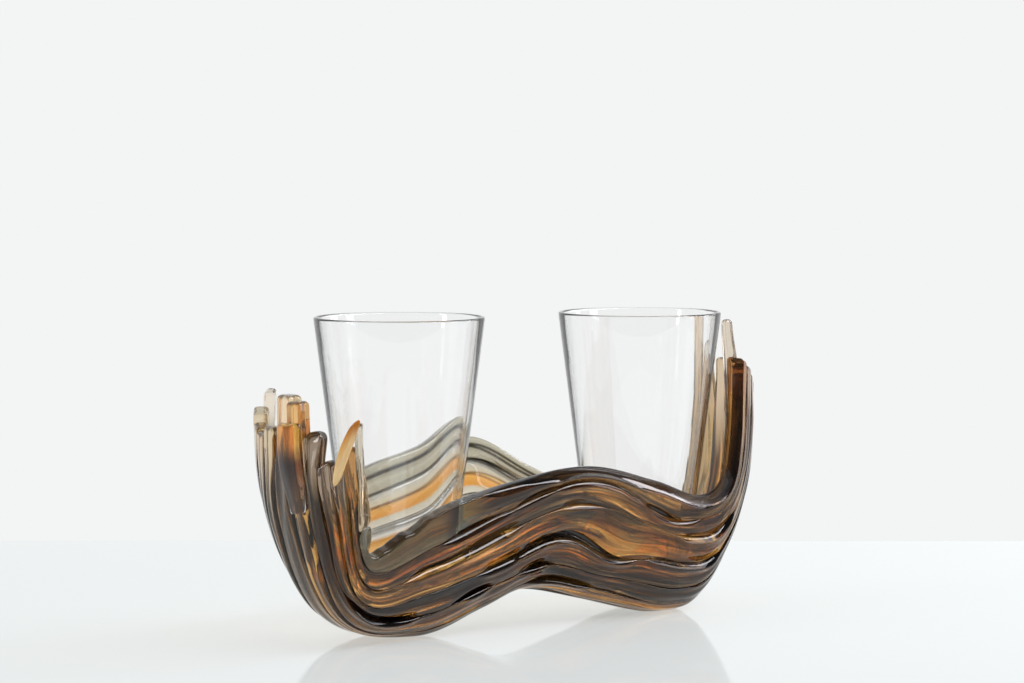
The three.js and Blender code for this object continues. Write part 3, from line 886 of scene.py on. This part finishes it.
    def drop(self) -> Array:
        """Gives how far the grooves, steps, eyes, roll and cut lie below the strip's outside.

        Returns:
            A row of depths for each ring.
        """
        depth, width = (np.full_like(self.inset, size) for size in self.RIB_GROOVE)
        for share, (groove, shoulder) in zip((self.fingers, self.upright, self.slab), self.GROOVES):
            depth = depth + (groove - depth) * share
            width = width + (shoulder - width) * share
        width = np.minimum(width, self.WIDEST_GROOVE * self.half_width)
        step = np.minimum(self.above.drop(self.tread_inset), self.deepest)
        drop = depth * np.clip(1 - self.inset / width, 0, 1) ** 2 + np.where(self.on_top, step, 0)
        drop = drop + self.EYE_DEPTH * self.pocket
        # A free front edge is rolled, up to where the cut takes the roll away.
        missing = 1 - smoothstep(self.distances - self.ends[0], 0, self.ROLL_REACH)[:, None]
        roll = np.maximum(self.rolled * (1 - self.rim * self.ROLL_GROWTH * missing), self.ROLL_LEAST)
        rolled = roll * np.sqrt(1 - self.ROLL_ROUND * np.clip(1 - self.first_inset / roll, 0, 1) ** 2)
        edge = (roll - rolled) * (1 - self.cut_share) * (1 - self.slab) + self.cut_slope * self.slant
        return np.maximum(drop, edge)

    def depths(self) -> Array:
        """Gives how far each point lies inside the trough's outside.

        Returns:
            A row of depths for each ring.
        """
        # A tread under a border faces up, so the strip swells towards it, and the strip above sinks to meet it.
        steps = np.where(self.on_top, self.above.height(), -self.below.height())
        lean = steps / 2 * self.x**2 * (3 - 2 * np.abs(self.x))
        (rib_seed, rib_height, rib_wave), (swell_seed, swell_height, swell_wave) = self.RIBS, self.SWELL
        bend = ripple(rib_seed + self.seams[0], self.distances, rib_wave)[:, None]
        ribs = rib_height * np.cos(math.pi * (self.RIB_COUNT * self.x + bend))
        swell = swell_height * ripple(swell_seed + self.seams[0], self.distances, swell_wave)[:, None]
        top = self.outside + self.drop() - (swell + ribs * (1 - self.slab) + lean)
        edge = (np.where(self.x > 0, top[:, :1], top[:, self.outer : self.outer + 1]) + self.inside) / 2
        power = np.where(self.on_outside, *self.POWERS)
        y = (1 - np.abs(self.x) ** power) ** (1 / power)
        depths = edge + (np.where(self.on_outside, top, self.inside) - edge) * y
        thick = (self.inside - self.outside) / 2
        return self.outside + thick + (depths - self.outside - thick) * self.keep(thick)

    def satin(self) -> Array:
        """Gives how far each point is ground to a satin surface."""
        return self.cut_share * np.maximum(smoothstep(self.slant, *self.SATIN_SPAN),
                                           smoothstep(-self.x, *self.SATIN_EDGE))

    def painted_shade(self) -> Array:
        """Gives the painted shade: finger seams, eye pockets and treads painted dark where shade falls, the rolled
        top edge painted dark in place of the dark it mirrors, and the ground cut face darkened.

        Returns:
            A row of shares for each ring.
        """
        plain, above = 1 - self.slab, self.above
        seam = self.SEAM_SHADE * self.fingers * plain * (1 - smoothstep(self.inset, *self.SEAM_SPAN))
        first, last = (share * self.rolled for share in self.ROLL_SPAN)
        roll = 1 - smoothstep(self.first_inset, first, last + self.ROLL_LEAST)
        roll = self.ROLL_SHADE * (self.rolled > 0) * plain * roll
        tread = self.on_top * (1 - smoothstep(self.tread_inset, above.run, above.run + above.round))
        tread = self.TREAD_SHADE * tread * smoothstep(above.length, *self.TREAD_SPAN)
        layers = np.broadcast_arrays(seam, self.pocket, roll, self.SATIN_SHADE * self.satin(), tread)
        return np.max(layers, axis=0)

    def attributes(self, depths: Array) -> dict[str, tuple[str, str, tuple[Array, ...]]]:
        """Gives what the material reads from the strip.

        Args:
            depths: A row of depths for each ring.

        Returns:
            The type, the field and the parts of each attribute, by its name.
        """
        left, right = (1 - smoothstep(np.abs(self.distances - end), *fade)[:, None]
                       for end, fade in zip(self.ends, self.fades))
        left_colour, right_colour = (np.array(linear(colour)) for colour in self.colours)
        tip = right_colour + (left_colour - right_colour) * (left / np.maximum(left + right, TINY))
        seed = self.SEED_STEP * (self.seams[0] + 1)
        along, across = self.distances[:, None] * MM + seed, self.x * self.half_width * MM + seed
        return {
            "flow": ("FLOAT_VECTOR", "vector", (along, across, depths * MM)),
            # The place attribute carries the painted shade, the share of tip colour and the satin.
            "place": ("FLOAT_VECTOR", "vector", (self.painted_shade(), np.minimum(left + right, 1), self.satin())),
            "lie": ("FLOAT", "value", ((1 + self.x) / 2,)),
            "tip": ("FLOAT_COLOR", "color", tuple(tip.T[:, :, None])),
        }

    def build(self, material: bpy.types.Material) -> bpy.types.Object:
        """Lays the rod along the lane.

        Args:
            material: The glass that the strip is cut from.

        Returns:
            The strip's object.
        """
        rod = self.rod()
        rod.verts.ensure_lookup_table()
        ring = np.array([round((v.co.z + 0.5) * (self.rings - 1)) for v in rod.verts])
        angles = [math.atan2(v.co.y, v.co.x) / (2 * math.pi) for v in rod.verts]
        turn = np.array([round(angle * self.sides) % self.sides for angle in angles])
        depths = self.depths()
        rounds = self.middle[:, None] + self.x * (self.half[:, None] * self.keep(self.half_width))
        points = self.trough.glass(self.stations, rounds, depths) * MM
        points[..., 2] = np.maximum(points[..., 2], 0)
        for vert, i, j in zip(rod.verts, ring, turn):
            vert.co = points[i, j]
        bmesh.ops.recalc_face_normals(rod, faces=rod.faces)
        if rod.calc_volume(signed=True) < 0:
            bmesh.ops.reverse_faces(rod, faces=rod.faces)
        piece = make_object(self.name, rod, material)
        for name, (kind, field, parts) in self.attributes(depths).items():
            values = np.stack([np.broadcast_to(part, depths.shape) for part in parts], axis=2)
            attribute = piece.data.attributes.new(name, kind, "POINT")
            attribute.data.foreach_set(field, values[ring, turn].astype(np.float32).ravel())
        piece.data.shade_smooth()
        finer = piece.modifiers.new("fire_polish", "SUBSURF")
        finer.levels = finer.render_levels = 1
        return piece


@dataclass
class Cradle:
    """The kiln-formed trough of fused strips, in millimetres.

    The seams of the overlay and the leaf are numbers of their own, which choose their waviness.
    """

    trough: Trough
    fuse_gap: float = 0.06
    floor_lane: int = 6
    end_finger_length: float = 50.0
    flake_length: float = 70.0
    overlay_lane: int = 5
    overlay_seams: tuple[int, int] = (20, 21)
    overlay_share: float = 1.5
    overlay_heights: Pair = (110.0, 66.0)
    overlay_thickness: float = 4.5
    overlay_feather: float = 0.8
    leaf_lanes: tuple[int, int] = (0, 2)
    leaf_seams: tuple[int, int] = (22, 23)
    leaf_heights: Pair = (113.0, 92.0)
    leaf_width: float = 8.0
    leaf_neck: float = 4.0
    leaf_thickness: float = 3.5
    joint_gap: float = 0.3
    chip: float = 1.3
    chip_wave: float = 26.0
    chip_seed: int = 31

    def lane_edges(self, lane: int) -> Callable[[Array], Edges]:
        """Gives a lane's two edges, with half the fuse gap off each.

        Args:
            lane: Which lane.

        Returns:
            A function from stations to the rounds of the two edges.
        """

        def edges(stations: Array) -> Edges:
            """Finds the edges at these stations."""
            borders = self.trough.borders(stations)
            gap = self.fuse_gap / 2 / self.trough.girth(stations)
            return borders[:, lane] + gap, borders[:, lane + 1] - gap

        return edges

    def chipped(self, stations: Array) -> Edges:
        """Gives the edges of the flake, whose free edge is broken in waves.

        Args:
            stations: Where along the trough.

        Returns:
            The rounds of the two edges.
        """
        low, high = self.lane_edges(0)(stations)
        total = self.trough.girth(stations)
        distances = self.lines[0].distance(stations)
        wave = 1 + ripple(self.chip_seed, distances, self.chip_wave)
        broken = 1 - smoothstep(distances, self.flake_end - self.chip_wave / 2, self.flake_end)
        return low + self.chip * broken * np.maximum(wave, 0) / total, high

    def finish(self, ribbon: Ribbon, glass: Glass) -> None:
        """Builds a ribbon, dresses it and sets it on the cradle.

        Args:
            ribbon: The strip to build.
            glass: The glass that it is cut from.
        """
        piece = ribbon.build(self.materials[glass])
        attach(piece, "cradle")
        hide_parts(ribbon.name.removesuffix("_glass"))
        LOG.info("%s: %d faces", piece.name, len(piece.data.polygons))

    def full_strips(self) -> None:
        """Lays the strips that run from the left tips to the right tips."""
        for i, lane in list(enumerate(LANES))[1:]:
            line = self.lines[i]
            ends = (line.left(lane.tips[0]), line.right(lane.tips[1]))
            upper = -1 if i < self.floor_lane else 1 if i > self.floor_lane else 0
            ribbon = Ribbon(f"{lane.name}_glass", self.trough, line, ends, self.lane_edges(i), (i, i + 1),
                            lane.colours, upper, forms=lane.forms, tip_rounds=lane.tip_rounds)
            self.finish(ribbon, lane.glass)

    def front_edge(self) -> None:
        """Lays the three pieces of the front edge, end to end."""
        line, edge = self.lines[0], LANES[0]
        start = line.left(edge.tips[0])
        flake = start + self.end_finger_length + self.joint_gap
        self.flake_end = flake + self.flake_length
        rim = self.flake_end + self.joint_gap
        common = {"trough": self.trough, "line": line, "edges": self.lane_edges(0), "seams": (0, 1), "upper": -1}
        finger = Ribbon("clear_end_finger_glass", ends=(start, start + self.end_finger_length), rings=60,
                        colours=(edge.colours[0], "#c9b596"), **common)
        self.finish(finger, Glass.PALE)
        panel = Ribbon("front_flake_glass", ends=(flake, flake + self.flake_length), rings=80, rolled=2.6,
                       colours=("#8e8874", "#3a2812"), tip_rounds=(2.4, 0.4), fades=((12, 36), (1, 9)),
                       **{**common, "edges": self.chipped})
        self.finish(panel, Glass.GREY)
        strip = Ribbon("front_edge_strip_glass", ends=(rim, line.right(edge.tips[1])), rings=150, rim=1.0,
                       rolled=5.5, colours=("#848c86", edge.colours[1]), tip_rounds=(0.4, 2.4),
                       fades=((4, 20), (17, 20)), **common)
        self.finish(strip, edge.glass)

    def overlay(self) -> None:
        """Lays the short amber strip over the outside of one finger at the left end."""
        line = self.lines[self.overlay_lane]

        def edges(stations: Array) -> Edges:
            """Makes the overlay wider than the finger under it."""
            low, high = self.lane_edges(self.overlay_lane)(stations)
            spare = (self.overlay_share - 1) * (high - low) / 2
            return low - spare, high + spare

        ends = tuple(line.left(height) for height in self.overlay_heights)
        form = Form((-self.joint_gap - self.overlay_thickness, -self.joint_gap))
        feather = Form((-self.joint_gap - self.overlay_feather, -self.joint_gap), width=0.8, reach=30)
        ribbon = Ribbon("amber_outer_finger_glass", self.trough, line, ends, edges, self.overlay_seams,
                        ("#f6b85c", "#8a7460"), plain=form, forms=(form, feather), fades=((9, 20), (8, 24)),
                        flat_tips=0.2, rings=50)
        self.finish(ribbon, Glass.RUSSET)

    def leaf(self) -> None:
        """Lays the honey-coloured leaf that slants down across the front fingers, widest in its middle."""
        line = self.lines[self.leaf_lanes[0]]
        ends = tuple(line.left(height) for height in self.leaf_heights)
        span = line.station(np.array(ends))

        def edges(stations: Array) -> Edges:
            """Slants the leaf from one lane to another."""
            down = np.clip((stations - span[0]) / (span[1] - span[0]), 0, 1)
            borders = self.trough.borders(stations)
            start, end = (borders[:, lane : lane + 2].mean(axis=1) for lane in self.leaf_lanes)
            centre = start + (end - start) * down
            width = self.leaf_neck + (self.leaf_width - self.leaf_neck) * np.sin(math.pi * down)
            half = width / 2 / self.trough.girth(stations)
            return centre - half, centre + half

        form = Form((-self.joint_gap - self.leaf_thickness, -self.joint_gap))
        ribbon = Ribbon("amber_leaf_glass", self.trough, line, ends, edges, self.leaf_seams,
                        ("#d08a3a", "#ffeab6"), plain=form, forms=(form, form), fades=((1, 9), (4, 14)), rings=50)
        self.finish(ribbon, Glass.OPAL)

    def build(self) -> None:
        """Lays every strip and the small pieces fused over the left end."""
        self.materials = {glass: glass.value.material() for glass in Glass}
        self.lines = [LaneLine(self.trough, lane) for lane in range(len(LANES))]
        self.full_strips()
        self.front_edge()
        self.overlay()
        self.leaf()


@dataclass
class Tumbler:
    """A clear pressed tumbler with straight tapered sides and a thick base, in metres.

    The hollow under its foot is given by shares of the foot's radius and heights.
    """

    node: str
    base_width: float = 0.050
    wall: float = 0.0024
    floor: float = 0.009
    hollow: tuple[Pair, ...] = ((0.0, 0.0012), (0.55, 0.0008), (0.82, 0.0))
    heel: float = 0.003
    corner: float = 0.004
    lip_share: float = 0.45
    steps: int = 128

    def build(self, material: bpy.types.Material) -> None:
        """Turns the tumbler about its axis and sets it in its well.

        Args:
            material: The clear glass.
        """
        low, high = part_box(self.node)
        axis = (low + high) / 2
        rim, foot = (high.x - low.x) / 2, self.base_width / 2
        height = high.z - low.z
        inner = foot + (rim - foot) * self.floor / height - self.wall
        outline = [*((foot * share, level) for share, level in self.hollow), (foot, 0), (rim, height),
                   (rim - self.wall, height), (inner, self.floor), (0, self.floor)]
        turned = bmesh.new()
        verts = [turned.verts.new((radius, 0, level)) for radius, level in outline]
        for pair in zip(verts, verts[1:]):
            turned.edges.new(pair)
        lip = self.wall * self.lip_share
        for vert, radius in zip(verts[3:], (self.heel, lip, lip, self.corner)):
            bmesh.ops.bevel(turned, geom=[vert], offset=radius, affect="VERTICES", segments=6, profile=0.5,
                            material=-1)
        bmesh.ops.spin(turned, geom=list(turned.verts) + list(turned.edges), cent=(0, 0, 0), axis=(0, 0, 1),
                       angle=2 * math.pi, steps=self.steps, use_merge=True)
        bmesh.ops.remove_doubles(turned, verts=turned.verts, dist=TINY)
        bmesh.ops.recalc_face_normals(turned, faces=turned.faces)
        bmesh.ops.translate(turned, verts=turned.verts, vec=(axis.x, axis.y, low.z))
        piece = make_object(f"{self.node}_glass", turned, material)
        piece.data.shade_smooth()
        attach(piece, self.node)
        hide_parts(self.node)
        LOG.info("%s: %d faces", piece.name, len(piece.data.polygons))


def clear_glass() -> bpy.types.Material:
    """Builds the tumblers' pressed soda-lime glass.

    Returns:
        The finished material.
    """
    material = bpy.data.materials.new("clear_pressed_glass")
    nodes = Nodes(material)
    waves = nodes.noise(nodes.add("TexCoord").outputs["Object"], MOULD).outputs["Fac"]
    bump = nodes.add("Bump", {"Strength": 0.1, "Distance": 0.0004, "Height": waves}).outputs[0]
    glass = nodes.add("BsdfPrincipled", {
        "Base Color": linear("#ffffff"), "IOR": 1.51, "Roughness": 0.01, "Transmission Weight": 1.0, "Normal": bump,
    })
    nodes.finish_glass(glass, "#fdfefe")
    return material


@dataclass(frozen=True)
class Lamp:
    """A softbox that faces the row of tumblers, in metres and watts.

    Its place is to the camera's right, away from the camera, and up. Its width lies level and square to its aim,
    unless a direction to the right and away is given.
    """

    name: str
    where: Triple
    size: Pair
    watts: float
    along: Pair | None = None


LAMPS = (
    Lamp("overhead_softbox", (0.95, -0.1, 1.1), (2.2, 0.36), 24.0, (0.66, 0.75)),
    Lamp("left_strip_softbox", (-0.9, -0.35, 0.45), (0.1, 0.9), 2.6),
    Lamp("right_softbox", (0.95, -0.2, 0.4), (0.25, 0.8), 2.0),
    Lamp("rear_softbox", (1.15, 0.66, 0.58), (0.8, 0.45), 4.0),
)


@dataclass
class Studio:
    """The pale table, the soft lamps and the camera, in metres and degrees."""

    trough: Trough
    distance: float = 1.441
    height: float = 0.240
    yaw: float = 32.6
    pitch: float = 3.852
    aside: float = 0.0054
    lens: float = 100.0
    sensor: float = 36.0
    table_behind: float = 0.30
    table_front: float = 1.3
    table_width: float = 3.2
    table_glow: float = 0.42
    table_gap: float = 0.0004
    aim_height: float = 0.06
    lamp_colour: str = "#fbf9ff"
    sweep_tilt: float = 0.5
    seen_level: float = 0.93
    room_level: float = 0.5
    bounces: int = 32

    def __post_init__(self) -> None:
        """Finds the middle of the row of tumblers, and the camera's own directions over the table."""
        middle = (self.trough.left_axis + self.trough.right_axis) / 2
        self.centre = Vector((middle * MM, self.trough.middle_y * MM, 0))
        turn = math.radians(self.yaw)
        self.away = Vector((math.sin(turn), math.cos(turn), 0))
        self.right = Vector((math.cos(turn), -math.sin(turn), 0))
        self.up = Vector((0, 0, 1))

    def camera(self) -> None:
        """Sets the camera where the photograph was taken from."""
        data = bpy.data.cameras.new("camera")
        data.lens = self.lens
        data.sensor_width = self.sensor
        data.clip_start = 0.05
        camera = bpy.data.objects.new("camera", data)
        back = self.away * self.distance + self.right * self.aside
        camera.location = self.centre - back + self.up * self.height
        camera.rotation_euler = (math.radians(90 - self.pitch), 0, -math.radians(self.yaw))
        bpy.context.scene.collection.objects.link(camera)
        bpy.context.scene.camera = camera

    def table(self) -> None:
        """Lays the pale glossy table top under the feet."""
        top = bmesh.new()
        bmesh.ops.create_grid(top, x_segments=1, y_segments=1, size=0.5)
        bmesh.ops.scale(top, vec=(self.table_width, self.table_front + self.table_behind, 1), verts=top.verts)
        bmesh.ops.translate(top, vec=(0, (self.table_behind - self.table_front) / 2, 0), verts=top.verts)
        turn = Matrix.Rotation(-math.radians(self.yaw), 3, "Z")
        bmesh.ops.rotate(top, cent=(0, 0, 0), matrix=turn, verts=top.verts)
        bmesh.ops.translate(top, vec=self.centre - self.up * self.table_gap, verts=top.verts)
        # Part of the white is a glow for every ray that sees the table, so that it looks even under one lamp.
        material = bpy.data.materials.new("white_lacquer")
        nodes = Nodes(material)
        glow = nodes.math("MULTIPLY", nodes.math("MAXIMUM", nodes.seen(), nodes.ray("Glossy")), self.table_glow)
        lacquer = nodes.add("BsdfPrincipled", {
            "Base Color": linear("#8e9392"), "Roughness": 0.06, "IOR": 1.12, "Emission Color": linear("#f6f9f8"),
            "Emission Strength": glow,
        })
        nodes.add("OutputMaterial", {"Surface": lacquer.outputs[0]})
        table = make_object("table", top, material)

    def hang(self, lamp: Lamp) -> None:
        """Hangs a softbox.

        Args:
            lamp: Which one.
        """
        data = bpy.data.lights.new(lamp.name, "AREA")
        data.shape = "RECTANGLE"
        data.size, data.size_y = lamp.size
        data.energy = lamp.watts
        data.color = linear(self.lamp_colour)[:3]
        hung = bpy.data.objects.new(lamp.name, data)
        right, away, up = lamp.where
        hung.location = self.centre + self.right * right + self.away * away + self.up * up
        back = (hung.location - self.centre - self.up * self.aim_height).normalized()
        side = self.right * lamp.along[0] + self.away * lamp.along[1] if lamp.along else self.up.cross(back)
        side = (side - back * side.dot(back)).normalized()
        hung.rotation_euler = Matrix((side, back.cross(side), back)).transposed().to_euler()
        hung.visible_transmission = False
        bpy.context.scene.collection.objects.link(hung)

    def world(self) -> None:
        """Makes a white sweep behind, seen by the eye and through glass, with a dim room in front."""
        world = bpy.data.worlds.new("studio")
        bpy.context.scene.world = world
        nodes = Nodes(world)
        where = nodes.add("TexCoord").outputs["Generated"]
        axis = tuple(self.away - self.up * self.sweep_tilt)
        behind = nodes.add("VectorMath", {"operation": "DOT_PRODUCT", 0: where, 1: axis}).outputs["Value"]
        sweep = nodes.add("MapRange", {
            "interpolation_type": "SMOOTHSTEP", "From Min": -0.3, "From Max": 0.6, "To Min": 0.12, "To Max": 0.95,
            "Value": behind,
        }).outputs[0]
        unseen = nodes.mix(nodes.ray("Glossy"), self.room_level, sweep, "FLOAT")
        level = nodes.mix(nodes.seen(), unseen, self.seen_level, "FLOAT")
        sky = nodes.add("Background", {"Color": linear("#fbfcfc"), "Strength": level})
        nodes.add("OutputWorld", {"Surface": sky.outputs[0]})

    def build(self) -> None:
        """Sets up the whole studio."""
        self.camera()
        self.table()
        for lamp in LAMPS:
            self.hang(lamp)
        self.world()
        scene = bpy.context.scene
        scene.view_settings.view_transform = "Standard"
        scene.cycles.max_bounces = scene.cycles.transmission_bounces = self.bounces
        scene.cycles.glossy_bounces = self.bounces // 2


def main() -> None:
    """Builds the studio, the cradle and the tumblers."""
    logging.basicConfig(level=logging.INFO, format="%(message)s")
    trough = Trough()
    Studio(trough).build()
    Cradle(trough).build()
    glass = clear_glass()
    for node in ("left_tumbler", "right_tumbler"):
        Tumbler(node).build(glass)


if __name__ == "__main__":
    main()
